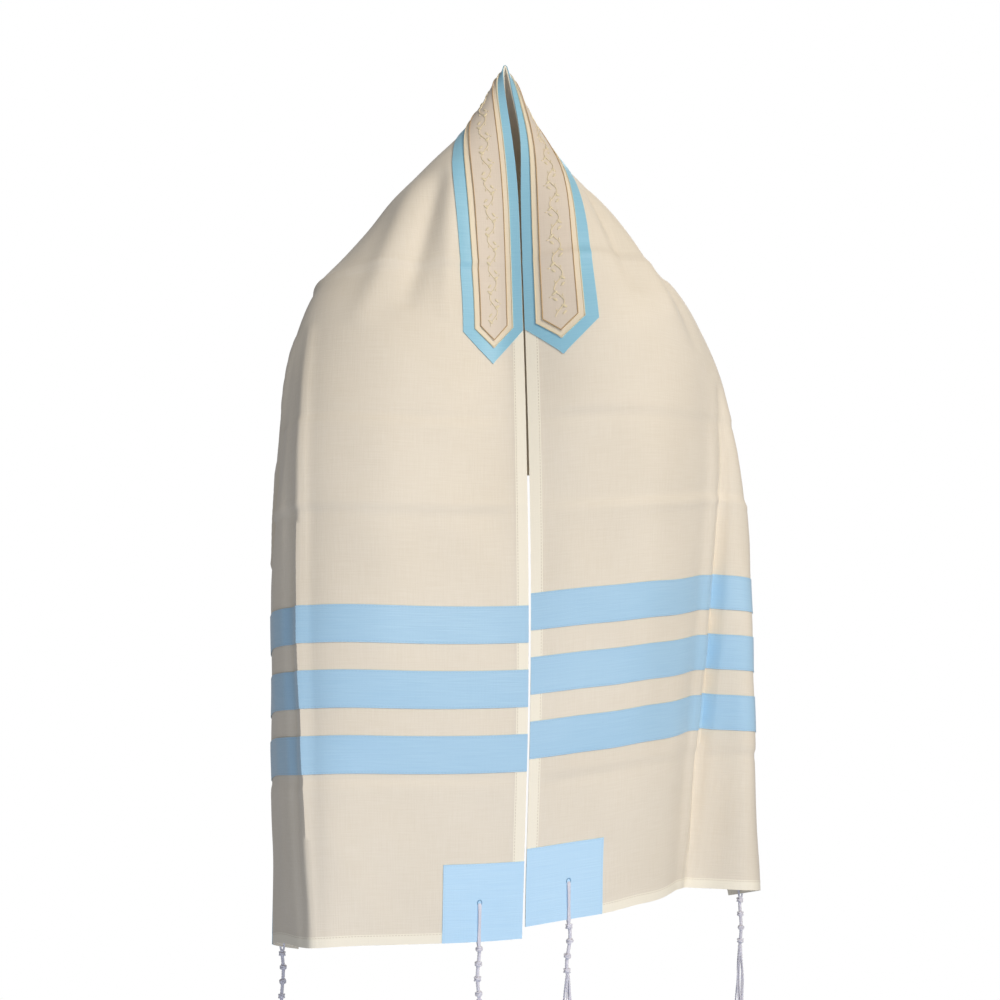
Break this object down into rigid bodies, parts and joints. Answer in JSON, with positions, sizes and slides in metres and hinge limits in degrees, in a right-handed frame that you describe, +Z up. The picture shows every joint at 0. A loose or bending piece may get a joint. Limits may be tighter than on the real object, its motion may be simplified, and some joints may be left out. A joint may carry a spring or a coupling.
{
  "type": "tallit prayer shawl, worn",
  "caption": "Rectangular cream prayer shawl in the hollow form it takes on the shoulders, with blue stripes, corner squares, pointed neckband and corner tassels",
  "frame": {"origin": "The point inside the neck where the wearer's shoulders and neck hold the shawl, 0.24 m below its peak", "axes": "+Z up along the garment's length, -Y the front, where the two halves meet, X across the shoulders"},
  "size_m": [0.5848, 0.3811, 1.3422],
  "materials": {
    "cream_cloth": "fine matt-silk weave, ivory cream",
    "blue_cloth": "satin-faced light blue weave",
    "embroidered_panel": "beige weave with cream and gold thread",
    "white_wool": "twisted white wool"
  },
  "bodies": {
    "root": {"shawl_cloth": "cream_cloth", "stripe_left_lower": "blue_cloth", "stripe_left_middle": "blue_cloth", "stripe_left_upper": "blue_cloth", "stripe_right_lower": "blue_cloth", "stripe_right_middle": "blue_cloth", "stripe_right_upper": "blue_cloth", "square_front_left": "blue_cloth", "square_front_right": "blue_cloth", "square_rear_left": "blue_cloth", "square_rear_right": "blue_cloth", "atarah_band": "blue_cloth", "atarah_inlay": "cream_cloth", "atarah_panel": "embroidered_panel", "tzitzit_front_left": "white_wool", "tzitzit_front_right": "white_wool", "tzitzit_rear_left": "white_wool", "tzitzit_rear_right": "white_wool"}
  },
  "joints": []
}
